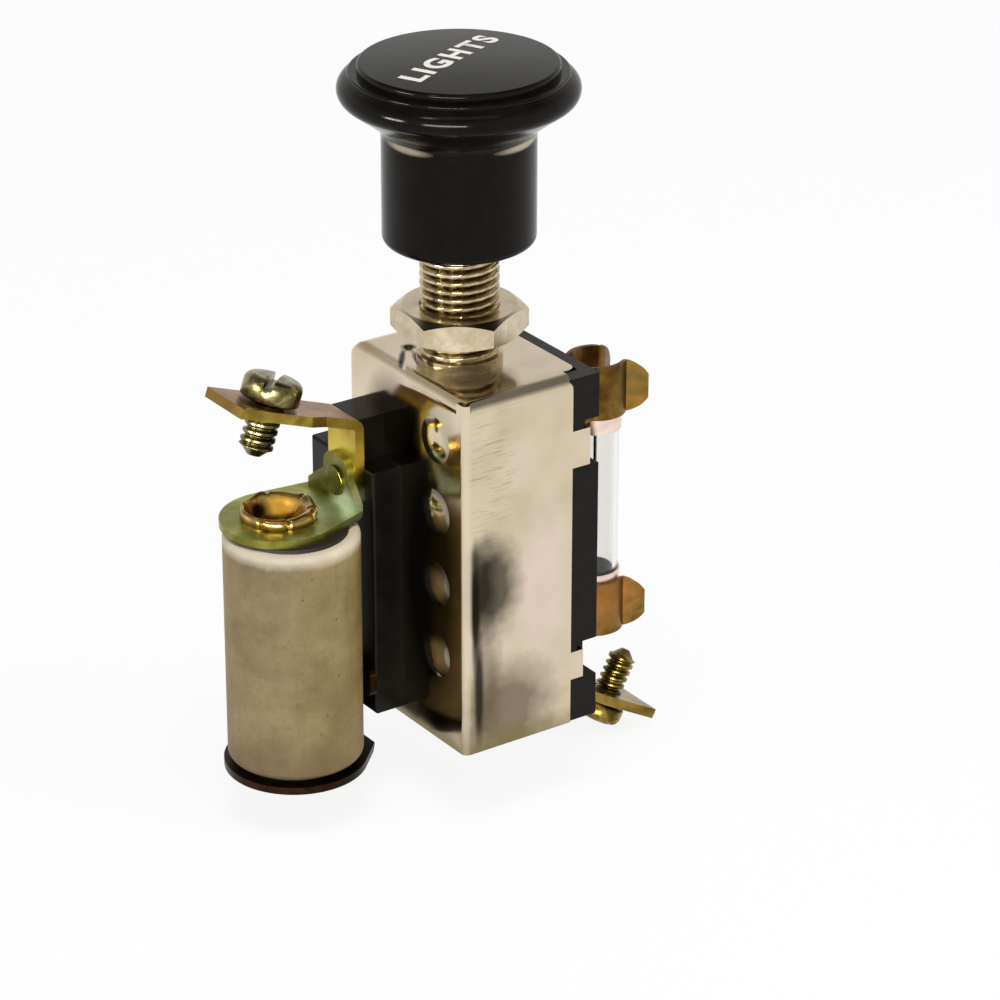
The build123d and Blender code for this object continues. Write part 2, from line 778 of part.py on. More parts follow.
with BuildPart() as fuse_wire:
    with BuildSketch(fuse_axis.offset(-fuse_bottom_drop + fuse_cap_end)):
        Circle(fuse_wire_dia / 2)
    extrude(amount=fuse_length - 2 * fuse_cap_end)
save(fuse_wire.part, "fuse_wire")

# Resistor board: moulded block with a step that backs the terminal
with BuildPart() as resistor_board:
    with BuildSketch(across_x(resistor_face)):
        band(
            resistor_board_near_y,
            resistor_board_far_y,
            -resistor_board_bottom_drop,
            -resistor_board_top_drop,
        )
        band(
            board_step_near_y,
            board_step_far_y,
            -resistor_board_top_drop,
            -board_step_top_drop,
        )
    extrude(amount=resistor_board_thickness)
    fillet(resistor_board.faces().sort_by(Axis.X)[0].edges(), board_round)
    with BuildSketch(across_x(resistor_face)):
        with Locations(upper_rivet, lower_rivet):
            Circle(rivet_hole)
        with Locations(fixing_rivets):
            Circle(fixing_hole)
    extrude(amount=resistor_board_thickness, mode=Mode.SUBTRACT)
save(resistor_board.part, "resistor_board")

board_grip = resistor_board_thickness + sheet
for name, place in (("upper", fixing_rivets[0]), ("lower", fixing_rivets[1])):
    fixing = rivet(resistor_face, -1, place, board_grip, fixing_rivet_dia, fixing_rivet_head_dia)
    save(fixing, f"board_rivet_{name}")


# Screw terminals: a leg on the board, a bend, and a tongue that widens round the screw
def terminal(face_x, outward, centre_y, bend_z, leg, reach, screw_reach, slope, screw_dia, rivet_place):
    """One terminal; on the resistor side its tongue rises, on the fuse side it slopes down."""
    rise = -outward
    angle = radians(slope)
    end = (face_x + outward * reach, bend_z + rise * reach * tan(angle))
    screw_x = face_x + outward * screw_reach
    screw_z = bend_z + rise * screw_reach * tan(angle)
    screw_plane = Plane(
        origin=(screw_x, centre_y, screw_z),
        x_dir=(0, 1, 0),
        z_dir=(-outward * sin(angle), 0, rise * cos(angle)),
    )
    with BuildPart() as strip:
        with BuildSketch(across_y(centre_y)):
            with BuildLine():
                FilletPolyline(
                    (face_x, bend_z - rise * leg),
                    (face_x, bend_z),
                    end,
                    radius=terminal_bend,
                )
                offset(amount=terminal_sheet, side=Side.LEFT)
            make_face()
        extrude(amount=terminal_width / 2, both=True)
        with BuildSketch(Plane.XY.offset(bend_z)):
            narrow = terminal_leg_width / 2
            wide = terminal_width / 2
            taper_from = face_x + outward * terminal_wide_from
            taper_to = taper_from + outward * terminal_taper
            start = face_x - outward * terminal_sheet
            for side in (-1, 1):
                with BuildLine():
                    Polyline(
                        (start, centre_y + side * narrow),
                        (taper_from, centre_y + side * narrow),
                        (taper_to, centre_y + side * wide),
                        (taper_to, centre_y + side * (wide + terminal_sheet)),
                        (start, centre_y + side * (wide + terminal_sheet)),
                        close=True,
                    )
                make_face()
        extrude(amount=reach, both=True, mode=Mode.SUBTRACT)
        with BuildSketch(across_x(face_x)):
            with Locations(rivet_place):
                Circle(rivet_hole)
        extrude(amount=outward * terminal_sheet, mode=Mode.SUBTRACT)
        with BuildSketch(screw_plane):
            Circle(screw_dia / 2 + thread_gap)
        extrude(amount=-2 * terminal_sheet, mode=Mode.SUBTRACT)
    return strip.part, screw_plane


def slotted_screw(plane, dia, head_dia, head_height, length, lift):
    """A slotted screw whose head stands the given lift off the plane."""
    seat = plane.offset(lift)
    with BuildPart() as screw:
        with BuildSketch(seat):
            Circle(head_dia / 2)
        extrude(amount=head_height)
        rims = screw.edges().filter_by(GeomType.CIRCLE)
        fillet(rims.sort_by_distance(seat.offset(head_height).origin)[0], screw_head_round)
        with BuildSketch(seat):
            Circle(dia / 2)
        extrude(amount=-length)
        rims = screw.edges().filter_by(GeomType.CIRCLE)
        chamfer(rims.sort_by_distance(seat.offset(-length).origin)[0], screw_tip_chamfer)
        with BuildSketch(seat.offset(head_height)):
            Rectangle(head_dia + 2 * screw_head_round, screw_slot_width)
        extrude(amount=-screw_slot_depth, mode=Mode.SUBTRACT)
    return screw.part


upper_terminal, upper_screw_plane = terminal(
    resistor_face,
    -1,
    upper_terminal_y,
    -upper_terminal_bend_drop,
    upper_terminal_leg,
    upper_terminal_reach,
    upper_screw_reach,
    upper_terminal_slope,
    upper_screw_dia,
    upper_rivet,
)
save(upper_terminal, "lamp_terminal")
upper_screw = slotted_screw(
    upper_screw_plane,
    upper_screw_dia,
    upper_screw_head_dia,
    upper_screw_head_height,
    upper_screw_length,
    upper_screw_lift,
)
save(upper_screw, "lamp_terminal_screw")

lower_terminal, lower_screw_plane = terminal(
    board_outside,
    1,
    lower_terminal_y,
    -housing_height - lower_terminal_bend_fall,
    lower_terminal_leg,
    lower_terminal_reach,
    lower_screw_reach,
    lower_terminal_slope,
    lower_screw_dia,
    supply_rivet,
)
save(lower_terminal, "supply_terminal")
lower_screw = slotted_screw(
    lower_screw_plane,
    lower_screw_dia,
    lower_screw_head_dia,
    lower_screw_head_height,
    lower_screw_length,
    lower_screw_lift,
)
save(lower_screw, "supply_terminal_screw")
supply_seat = board_outside + terminal_sheet
save(rivet(supply_seat, 1, supply_rivet, supply_seat - rail_inside), "supply_terminal_rivet")


# Resistor brackets: a round-ended plate under the eyelet, with a tab bent up against the board
def bracket_plate(seat_z, tab_x, centre, end_radius):
    """The flat of a bracket, from seat_z upward, reaching from its round end to the tab at tab_x."""
    with BuildSketch(Plane.XY.offset(seat_z)) as plan:
        with Locations(centre):
            Circle(end_radius)
        band(tab_x - bracket_sheet, tab_x, bracket_near_y, bracket_far_y)
        make_hull()
        with Locations((eyelet_x, eyelet_y)):
            Circle(eyelet_dia / 2 + rivet_gap, mode=Mode.SUBTRACT)
    extrude(plan.sketch, amount=bracket_sheet)


with BuildPart() as bracket_upper:
    bracket_plate(-upper_plate_drop, upper_tab_seat, (eyelet_x, eyelet_y), upper_bracket_radius)
    with BuildSketch(across_x(upper_tab_seat)) as upper_tab:
        tab_top = -head_tab_top_drop
        bend_top = -upper_plate_drop + bracket_sheet + bracket_bend
        tab_half = head_tab_top_width / 2
        with BuildLine():
            Polyline(
                (bracket_near_y, -upper_plate_drop),
                (bracket_near_y, bend_top),
                (upper_terminal_y - tab_half, bend_top + head_tab_shoulder),
                (upper_terminal_y - tab_half, tab_top),
                (upper_terminal_y + tab_half, tab_top),
                (upper_terminal_y + tab_half, bend_top + head_tab_shoulder),
                (bracket_far_y, bend_top),
                (bracket_far_y, -upper_plate_drop),
                close=True,
            )
        make_face()
        fillet(upper_tab.vertices().group_by(Axis.Y)[-1], head_tab_round)
        with Locations(upper_rivet):
            Circle(rivet_hole, mode=Mode.SUBTRACT)
    extrude(amount=-bracket_sheet)
    heel = bracket_upper.edges().filter_by(Axis.Y).group_by(Axis.Z)[0].sort_by(Axis.X)[-1]
    fillet(heel, bracket_bend)
save(bracket_upper.part, "resistor_bracket_upper")

with BuildPart() as bracket_lower:
    lower_plate = -lower_plate_drop - bracket_sheet
    bracket_plate(lower_plate, resistor_face, (ceramic_x, ceramic_y), lower_bracket_radius)
    with BuildSketch(across_x(resistor_face)) as lower_tab:
        tab_top = -housing_height + foot_tab_top_rise
        band(foot_tab_neck_y, bracket_far_y, lower_plate, tab_top)
        band(foot_tab_near_y, bracket_far_y, tab_top - foot_tab_head, tab_top)
        fillet(lower_tab.vertices().group_by(Axis.X)[0], foot_tab_round)
        with Locations(lower_rivet):
            Circle(rivet_hole, mode=Mode.SUBTRACT)
    extrude(amount=-bracket_sheet)
    heel = bracket_lower.edges().filter_by(Axis.Y).group_by(Axis.Z)[0].sort_by(Axis.X)[-1]
    fillet(heel, bracket_bend)
save(bracket_lower.part, "resistor_bracket_lower")

upper_seat = upper_tab_seat - bracket_sheet
lower_seat = resistor_face - bracket_sheet
save(rivet(upper_seat, -1, upper_rivet, strip_inside - upper_seat), "resistor_rivet_upper")
save(rivet(lower_seat, -1, lower_rivet, strip_inside - lower_seat), "resistor_rivet_lower")

# Ceramic tube
with BuildPart() as ceramic:
    with BuildSketch(Plane(origin=(ceramic_x, ceramic_y, -ceramic_bottom_drop))):
        Circle(ceramic_dia / 2)
        Circle(ceramic_bore / 2, mode=Mode.SUBTRACT)
    extrude(amount=ceramic_length)
    rims = ceramic.edges().filter_by(GeomType.CIRCLE).group_by(SortBy.RADIUS)[-1]
    fillet(rims, ceramic_edge_round)
save(ceramic.part, "resistor_ceramic")

# Washers between the ends of the ceramic tube and the brackets
for name, seat_z in (("upper", -ceramic_top_drop), ("lower", -lower_plate_drop)):
    with BuildPart() as washer:
        with BuildSketch(Plane.XY.offset(seat_z)):
            with Locations((ceramic_x, ceramic_y)):
                Circle(ceramic_dia / 2 - washer_inset)
            with Locations((eyelet_x, eyelet_y)):
                Circle(eyelet_dia / 2 + rivet_gap, mode=Mode.SUBTRACT)
        extrude(amount=washer_thickness)
    save(washer.part, f"resistor_washer_{name}")

# Resistance coil in the bore
with BuildPart() as coil:
    coil_radius = ceramic_bore / 2 - coil_bore_gap - coil_wire_dia / 2
    coil_height = coil_turns * coil_pitch
    coil_start = -ceramic_bottom_drop + (ceramic_length - coil_height) / 2
    with BuildLine() as wire_path:
        Helix(coil_pitch, coil_height, coil_radius, center=(ceramic_x, ceramic_y, coil_start))
    with BuildSketch(Plane(origin=wire_path.line @ 0, z_dir=wire_path.line % 0)):
        Circle(coil_wire_dia / 2)
    sweep(is_frenet=True)
save(coil.part, "resistor_coil")

# Rolled eyelet that clamps both brackets on the ceramic tube
with BuildPart() as eyelet:
    roll = eyelet_roll_dia / 2
    eyelet_low = -lower_plate_drop - bracket_sheet - roll
    eyelet_high = -upper_plate_drop + bracket_sheet + roll
    roll_x = eyelet_x + eyelet_dia / 2 - eyelet_wall + roll
    with BuildSketch(across_y(eyelet_y)):
        tube_wall = eyelet_x + eyelet_dia / 2
        band(tube_wall - eyelet_wall, tube_wall, eyelet_low, eyelet_high)
        with Locations((roll_x, eyelet_low), (roll_x, eyelet_high)):
            Circle(roll)
    revolve(axis=Axis((eyelet_x, eyelet_y, 0), (0, 0, 1)))
save(eyelet.part, "resistor_eyelet")
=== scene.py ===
import json
import math

import bmesh
import bpy
from mathutils import Matrix, Vector


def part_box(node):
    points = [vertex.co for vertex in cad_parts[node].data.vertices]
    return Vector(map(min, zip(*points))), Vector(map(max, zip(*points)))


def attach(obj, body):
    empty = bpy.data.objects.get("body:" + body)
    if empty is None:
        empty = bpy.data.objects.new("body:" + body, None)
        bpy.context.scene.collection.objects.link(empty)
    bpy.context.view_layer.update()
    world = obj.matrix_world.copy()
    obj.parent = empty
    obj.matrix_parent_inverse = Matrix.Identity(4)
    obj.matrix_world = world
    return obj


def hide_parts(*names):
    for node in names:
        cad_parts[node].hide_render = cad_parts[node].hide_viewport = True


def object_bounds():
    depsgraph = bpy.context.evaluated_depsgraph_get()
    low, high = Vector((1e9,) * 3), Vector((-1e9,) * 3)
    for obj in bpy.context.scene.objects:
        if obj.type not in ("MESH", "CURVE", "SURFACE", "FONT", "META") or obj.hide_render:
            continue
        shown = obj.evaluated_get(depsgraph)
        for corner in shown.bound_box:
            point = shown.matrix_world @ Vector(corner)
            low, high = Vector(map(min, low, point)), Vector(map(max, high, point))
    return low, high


# Looks of a push-pull light switch. Lengths are in mm and are multiplied by MM where they reach a mesh.
MM = 0.001
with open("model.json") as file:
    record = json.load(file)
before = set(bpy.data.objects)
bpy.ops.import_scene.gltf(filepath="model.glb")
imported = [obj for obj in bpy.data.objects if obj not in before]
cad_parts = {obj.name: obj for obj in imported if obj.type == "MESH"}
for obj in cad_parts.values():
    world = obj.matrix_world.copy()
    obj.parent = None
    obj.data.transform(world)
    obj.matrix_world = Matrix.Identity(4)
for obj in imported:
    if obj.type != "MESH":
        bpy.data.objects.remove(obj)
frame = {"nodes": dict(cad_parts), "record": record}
nodes = frame["nodes"]
mounts = {mount["name"]: mount for mount in frame["record"]["mounts"]}
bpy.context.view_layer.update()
scene = bpy.context.scene
scene.view_settings.view_transform = "Standard"


def rgb(text):
    """A colour written as #rrggbb, as linear values."""
    parts = [int(text[i : i + 2], 16) / 255 for i in (1, 3, 5)]
    return tuple(c / 12.92 if c <= 0.04045 else ((c + 0.055) / 1.055) ** 2.4 for c in parts) + (1,)


def nodes_box(name):
    """A node's lowest and highest corners, in mm."""
    return [[value / MM for value in corner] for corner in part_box(name)]


def centre_of(name):
    """The middle of a node's box, in mm."""
    return [(a + b) / 2 for a, b in zip(*nodes_box(name))]


# Half the housing's width and depth. Dimples and tabs stand out sideways, so its box gives only the depth.
half_width = 7.8
half_depth = -nodes_box("housing")[0][1]


class Paint:
    """A node material being built. Its coordinates are the object's own, in millimetres."""

    def __init__(self, name):
        self.mat = bpy.data.materials.new(name)
        self.mat.use_nodes = True
        self.nodes = self.mat.node_tree.nodes
        self.links = self.mat.node_tree.links
        self.bsdf = self.nodes["Principled BSDF"]
        coord = self.nodes.new("ShaderNodeTexCoord")
        self.place = self.vector("SCALE", coord.outputs["Object"], 1 / MM)
        self.edge = None

    def put(self, **values):
        """Sets plain values on the shader's own sockets."""
        for key, value in values.items():
            self.bsdf.inputs[key.replace("_", " ")].default_value = value
        return self

    def feed(self, socket, output):
        """Links a texture to one of the shader's sockets."""
        self.links.new(output, self.bsdf.inputs[socket])

    def fill(self, socket, value):
        """Links a socket, or sets it to a colour or a number."""
        if isinstance(value, bpy.types.NodeSocket):
            self.links.new(value, socket)
        elif isinstance(value, str):
            socket.default_value = rgb(value)
        else:
            socket.default_value = value

    def vector(self, kind, first, second=None):
        """One step of vector arithmetic."""
        node = self.nodes.new("ShaderNodeVectorMath")
        node.operation = kind
        self.fill(node.inputs[0], first)
        if kind == "SCALE":
            node.inputs["Scale"].default_value = second
        elif second is not None:
            self.fill(node.inputs[1], second)
        return node.outputs["Value" if kind == "LENGTH" else "Vector"]

    def math(self, kind, first, second):
        """One step of arithmetic."""
        node = self.nodes.new("ShaderNodeMath")
        node.operation = kind
        self.fill(node.inputs[0], first)
        self.fill(node.inputs[1], second)
        return node.outputs[0]

    def stretch(self, x, y, z):
        """The coordinates divided by x, y and z, for a texture that runs one way."""
        return self.vector("DIVIDE", self.place, (x, y, z))

    def noise(self, size, detail=3.0, rough=0.55, at=None, warp=0.0):
        """Noise whose blobs are about size mm across, from 0 to 1."""
        node = self.nodes.new("ShaderNodeTexNoise")
        node.inputs["Scale"].default_value = 1 / size
        node.inputs["Detail"].default_value = detail
        node.inputs["Roughness"].default_value = rough
        node.inputs["Distortion"].default_value = warp
        self.links.new(at or self.place, node.inputs["Vector"])
        return node.outputs[0]

    def cells(self, size):
        """The distance to the nearest of points scattered about size mm apart."""
        node = self.nodes.new("ShaderNodeTexVoronoi")
        node.inputs["Scale"].default_value = 1 / size
        self.links.new(self.place, node.inputs["Vector"])
        return node.outputs["Distance"]

    def ramp(self, value, *stops):
        """Maps a value to colours or greys, from stops of (position, colour)."""
        node = self.nodes.new("ShaderNodeValToRGB")
        band = node.color_ramp
        while len(band.elements) < len(stops):
            band.elements.new(0.5)
        for element, (position, colour) in zip(band.elements, stops):
            element.position = position
            element.color = rgb(colour) if isinstance(colour, str) else (colour, colour, colour, 1)
        self.links.new(value, node.inputs[0])
        return node.outputs[0]

    def mix(self, amount, first, second):
        """A blend from the first colour to the second."""
        factor, colour_a, colour_b, colour_out = 0, 6, 7, 2
        node = self.nodes.new("ShaderNodeMix")
        node.data_type = "RGBA"
        for index, value in ((factor, amount), (colour_a, first), (colour_b, second)):
            self.fill(node.inputs[index], value)
        return node.outputs[colour_out]

    def spot(self, centre, radii, turn=0):
        """A soft patch: 1 at its centre, 0 past its radii, turned about Z, ragged if it is wide."""
        wide_from, blob, raggedness = 1.2, 2.2, 0.4
        if self.edge is None:
            uneven = self.math("SUBTRACT", self.noise(blob, 4), 0.5)
            self.edge = self.math("MULTIPLY", uneven, raggedness)
        away = self.vector("SUBTRACT", self.place, centre)
        if turn:
            node = self.nodes.new("ShaderNodeVectorRotate")
            node.rotation_type = "Z_AXIS"
            node.inputs["Angle"].default_value = math.radians(-turn)
            self.links.new(away, node.inputs["Vector"])
            away = node.outputs[0]
        reach = self.vector("LENGTH", self.vector("DIVIDE", away, radii))
        if min(radii) > wide_from:
            reach = self.math("ADD", reach, self.edge)
        return self.ramp(reach, (0.4, 1.0), (1.0, 0.0))

    def patches(self, base, marks):
        """Lays soft patches of (centre, radii, strength, colour, turn) over a colour."""
        for centre, radii, strength, colour, *turn in marks:
            share = self.math("MULTIPLY", self.spot(centre, radii, *turn), strength)
            base = self.mix(share, base, colour)
        return base

    def upward(self):
        """1 where the surface faces up, 0 where it faces sideways or down."""
        geometry = self.nodes.new("ShaderNodeNewGeometry")
        split = self.nodes.new("ShaderNodeSeparateXYZ")
        self.links.new(geometry.outputs["Normal"], split.inputs[0])
        return self.ramp(split.outputs["Z"], (0.5, 0.0), (0.85, 1.0))

    def reach(self, low, high):
        """0 nearer to the Z axis than low, 1 farther than high."""
        flat = self.vector("LENGTH", self.vector("MULTIPLY", self.place, (1, 1, 0)))
        share = self.math("DIVIDE", self.math("SUBTRACT", flat, low), high - low)
        return self.ramp(share, (0.0, 0.0), (1.0, 1.0))

    def bump(self, *layers):
        """Bump from layers of (height, depth in mm)."""
        last = None
        for height, depth in layers:
            node = self.nodes.new("ShaderNodeBump")
            node.inputs["Distance"].default_value = depth * MM
            self.links.new(height, node.inputs["Height"])
            if last:
                self.links.new(last, node.inputs["Normal"])
            last = node.outputs[0]
        self.links.new(last, self.bsdf.inputs["Normal"])
        return self.mat


def case_paint():
    """Bright nickel on folded sheet: short rubs, a dark smudge, a reddish fleck and darker towards the
    foot, with painted reflections, a painted highlight and painted shade in the cuts.
    """
    p = Paint("nickel_case").put(Metallic=1.0)
    front, side = -half_depth, -half_width
    cloud = p.noise(7.0, 2, 0.5)
    base = p.ramp(cloud, (0.3, "#cabda1"), (0.5, "#d5c7ac"), (0.7, "#ddccb9"))
    streak = p.ramp(p.noise(1.0, 4, 0.6, p.stretch(4.0, 4.0, 0.35)), (0.52, 0.0), (0.68, 1.0))
    worn = p.spot((-4.0, front, -9.5), (5.0, 3.0, 10.5))
    base = p.mix(p.math("MULTIPLY", p.math("MULTIPLY", streak, worn), 0.5), base, "#84765c")
    marks = (
        # front wall: a painted warm highlight, darker towards the foot, and the dark smudge
        ((3.6, front, -26.0), (4.6, 3.0, 14.0), 0.5, "#e6d3c8"),
        ((-2.0, front, -41.5), (9.0, 3.0, 8.0), 0.8, "#6c5c48"),
        ((-4.8, front, -37.0), (2.8, 3.0, 11.0), 0.5, "#544836"),
        ((-3.9, front, -24.3), (5.0, 3.0, 8.0), 0.9, "#4a443b"),
        ((-5.6, front, -23.8), (3.0, 3.0, 7.4), 0.85, "#26221c"),
        ((-6.25, front, -27.0), (0.8, 3.0, 10.5), 0.95, "#1e1810"),
        ((-5.75, front, -37.8), (0.85, 3.0, 10.0), 0.9, "#241e16"),
        # wall on the resistor side: painted dark reflection round the dimples, a painted olive reflection
        # near the top, and a reddish fleck
        ((side, -5.0, -25.2), (0.55, 10.0, 27.5), 0.97, "#4a463c"),
        ((side, 3.0, -7.0), (0.8, 6.0, 7.0), 0.8, "#4a3c1a"),
        ((side, -10.3, -35.1), (1.0, 0.7, 1.3), 0.6, "#c08078"),
        # darker towards the foot of the case, a painted dark reflection of the bushing on the top panel in
        # front of it, and a painted highlight on the upright corner
        ((-4.0, -6.0, -46.8), (24.0, 24.0, 4.2), 0.85, "#7c7248"),
        ((-1.8, -6.4, 0.0), (5.6, 4.4, 0.7), 0.75, "#30240e"),
        ((-7.4, front + 0.3, -22.0), (0.8, 0.9, 30.0), 0.8, "#dfd2b8"),
        # painted shade in the hole and the two slits of the lanced fold
        ((-3.0, 6.4, 0.0), (1.2, 1.2, 0.5), 1.0, "#080604"),
        ((-5.5, 4.1, 0.0), (3.6, 0.55, 0.6), 1.0, "#0c0906", 52),
        ((-4.2, 2.9, 0.0), (3.0, 0.55, 0.6), 1.0, "#0c0906", 68),
    )
    p.feed("Base Color", p.patches(base, marks))
    dull = p.math("MULTIPLY", p.ramp(cloud, (0.3, 0.0), (0.8, 1.0)), 0.1)
    p.feed("Roughness", p.math("ADD", 0.08, dull))
    pits = p.ramp(p.cells(0.9), (0.0, 0.0), (0.12, 1.0))
    return p.bump((p.noise(8.0, 1), 0.1), (p.noise(0.5, 3), 0.003), (pits, 0.002))


def plated(name, dark, mid, light, rough=(0.16, 0.34), grain=(8, 8, 0.8), grime=0.35, marks=(), root=None):
    """Turned or pressed plated metal: streaky colour, cloudy gloss, dark stains and darker thread roots."""
    p = Paint(name).put(Metallic=1.0)
    streak = p.noise(1.0, 4, 0.6, p.stretch(*grain), 0.6)
    cloud = p.noise(3.0, 3, 0.6)
    base = p.ramp(streak, (0.28, dark), (0.5, mid), (0.74, light))
    base = p.mix(0.5, base, p.ramp(cloud, (0.3, mid), (0.7, light)))
    stain = p.ramp(p.noise(1.4, 5, 0.7), (0.42, 0.0), (0.66, 1.0))
    base = p.patches(p.mix(p.math("MULTIPLY", stain, grime), base, dark), marks)
    if root:
        base = p.mix(p.reach(*root), "#34270e", base)
    p.feed("Base Color", base)
    p.feed("Roughness", p.math("ADD", rough[0], p.math("MULTIPLY", cloud, rough[1] - rough[0])))
    return p.bump((p.noise(4.0, 2), 0.03), (p.noise(0.5, 3), 0.005))


def passivated(name, colours, rough=(0.2, 0.34), size=5.0, stain="#2a2210", grime=0.3, side=None, marks=()):
    """Passivated zinc or oiled bronze: slow drifts of colour over a fine satin, darker in places, with
    painted shade on faces that don't face up when side colours are given.
    """
    p = Paint(name).put(Metallic=1.0)
    drift = p.noise(size, 2, 0.5, None, 0.8)
    steps = [(0.32 + 0.36 * i / (len(colours) - 1), colour) for i, colour in enumerate(colours)]
    fine = p.noise(0.8, 4, 0.6)
    dull = p.ramp(p.noise(size * 0.6, 3, 0.6), (0.5, 0.0), (0.72, 1.0))
    base = p.ramp(drift, *steps)
    # painted shade: faces that don't face up take the darker side colours
    if side:
        base = p.mix(p.upward(), p.ramp(drift, (0.35, side[0]), (0.65, side[1])), base)
    base = p.mix(p.ramp(fine, (0.4, 0.0), (0.8, 0.2)), base, stain)
    base = p.mix(p.math("MULTIPLY", dull, grime), base, stain)
    p.feed("Base Color", p.patches(base, marks))
    p.feed("Roughness", p.math("ADD", rough[0], p.math("MULTIPLY", fine, rough[1] - rough[0])))
    return p.bump((p.noise(3.0, 2), 0.05), (fine, 0.005))


def moulding(name, dark, light, rough=(0.18, 0.4), grain=0.35, depth=0.006, gloss=0.16, marks=()):
    """Moulded or pressed phenolic: mottled near-black, rubbed and dusty."""
    p = Paint(name).put(Specular_IOR_Level=gloss, Specular_Tint=(1.0, 0.93, 0.84, 1))
    mottle = p.noise(grain * 6, 4, 0.65)
    dust = p.ramp(p.noise(grain, 5, 0.75), (0.5, 0.0), (0.85, 0.5))
    base = p.ramp(mottle, (0.3, dark), (0.7, light))
    p.feed("Base Color", p.patches(p.mix(dust, base, light), marks))
    p.feed("Roughness", p.math("ADD", rough[0], p.math("MULTIPLY", mottle, rough[1] - rough[0])))
    return p.bump((p.noise(4.0, 2), 0.02), (p.noise(grain, 4), depth))


def ceramic_paint():
    """Unglazed fired clay: specks, a painted highlight on the rim at the top and brown stains lower down.
    """
    p = Paint("fired_clay").put(Roughness=0.55, Specular_IOR_Level=0.3)
    base = p.ramp(p.noise(6.0, 4, 0.6), (0.3, "#7a6840"), (0.55, "#907c50"), (0.75, "#a08c60"))
    height = p.noise(3.0, 3, 0.6, p.stretch(4, 4, 1))
    base = p.mix(p.math("MULTIPLY", p.ramp(height, (0.5, 0.0), (0.8, 1.0)), 0.3), base, "#b4a276")
    drips = p.ramp(p.noise(1.0, 3, 0.6, p.stretch(1.2, 1.2, 9.0)), (0.55, 0.0), (0.75, 1.0))
    base = p.mix(p.math("MULTIPLY", drips, 0.3), base, "#6e5f3a")
    speck = p.ramp(p.noise(0.6, 5, 0.8), (0.34, 1.0), (0.44, 0.0))
    base = p.mix(p.math("MULTIPLY", speck, 0.5), base, "#5f5634")
    fleck = p.ramp(p.cells(2.8), (0.02, 1.0), (0.08, 0.0))
    base = p.mix(p.math("MULTIPLY", fleck, 0.8), base, "#3c3420")
    low, top = nodes_box("resistor_ceramic")
    x, y = (top[0] + low[0]) / 2, (top[1] + low[1]) / 2
    marks = (
        # a painted highlight on the top rim, then brown stains lower down
        ((x, y, top[2]), (20.0, 20.0, 1.9), 0.85, "#e0d6c0"),
        ((x, y, low[2]), (20.0, 20.0, 7.0), 0.6, "#6a5836"),
        ((x + 2.0, y - 7.0, low[2] + 9.0), (4.0, 4.0, 7.0), 0.35, "#6a5836"),
    )
    p.feed("Base Color", p.patches(base, marks))
    return p.bump((p.noise(3.0, 3), 0.06), (p.noise(0.35, 4), 0.02))


def clear_glass():
    """Plain glass for the fuse tube."""
    p = Paint("clear_glass")
    p.put(Base_Color=(0.9, 0.89, 0.86, 1), Roughness=0.02, IOR=1.5, Transmission_Weight=1.0)
    return p.mat


def plain(name, colour, rough=0.5, metal=0.0, vary=0.24):
    """A quiet finish for inner pieces: one colour with slight dirt."""
    p = Paint(name).put(Metallic=metal)
    p.feed("Base Color", p.mix(p.math("MULTIPLY", p.noise(1.2, 4), vary), colour, "#1a1512"))
    p.feed("Roughness", p.math("ADD", rough - 0.08, p.math("MULTIPLY", p.noise(0.8, 3), 0.16)))
    return p.bump((p.noise(0.5, 3), 0.006))


# Marks on single pieces, as (centre, radii, strength, colour), many of them painted light and shade, and
# the places that they are measured from
eyelet_x, eyelet_y = centre_of("resistor_eyelet")[:2]
eyelet_top = nodes_box("resistor_eyelet")[1][2]
leg_x = nodes_box("lamp_terminal")[1][0]
leg_y = centre_of("lamp_terminal")[1]
plate_z = -17.1
under_flange_z = 28.9
# painted reflections of the floor on the fillet under the knob's flange
hub_painted_reflections = (
    ((-9.2, -2.2, under_flange_z), (3.4, 4.2, 0.6), 0.85, "#c0b49c"),
    ((3.2, -8.8, under_flange_z), (4.8, 3.0, 0.6), 0.85, "#c0b49c"),
)
# painted light in the eyelet: a gold highlight on the far wall of the funnel, painted shade on its near
# wall and deep in the bore
eyelet_painted_light = (
    ((eyelet_x + 1.6, eyelet_y + 2.0, eyelet_top - 1.6), (3.0, 2.6, 2.2), 0.9, "#f0b848"),
    ((eyelet_x - 0.9, eyelet_y + 2.9, eyelet_top - 1.7), (1.9, 1.7, 2.0), 0.97, "#1c0c08"),
    ((eyelet_x, eyelet_y, eyelet_top - 5.0), (6.0, 6.0, 2.4), 1.0, "#0c0604"),
)
# a painted dark reflection on the tab, a painted reflection on the plate near the board and a painted
# highlight at the bend, then two patches of the zinc's own tone
bracket_tone_and_painted_light = (
    ((leg_x - 2.0, leg_y + 3.2, -14.4), (2.2, 3.6, 3.2), 0.8, "#5a5826"),
    ((leg_x - 3.4, leg_y - 2.2, plate_z), (4.4, 4.4, 1.8), 0.95, "#dcebc8"),
    ((leg_x - 1.3, leg_y - 1.6, -16.0), (2.2, 3.0, 2.2), 0.9, "#f0f8e0"),
    ((eyelet_x + 3.0, eyelet_y + 5.8, plate_z), (6.0, 3.0, 1.6), 0.75, "#a8a838"),
    ((eyelet_x - 5.0, eyelet_y + 3.0, plate_z), (3.6, 5.0, 1.6), 0.8, "#8c8a44"),
)
clip_marks = (((14.0, -6.1, -33.0), (9.0, 6.0, 5.0), 0.85, "#c08444"),)
# painted shade on the shank below the tongue
shank_painted_shade = (((leg_x - 10.8, leg_y, -7.0), (5.0, 5.0, 5.0), 0.9, "#1c1a0e"),)
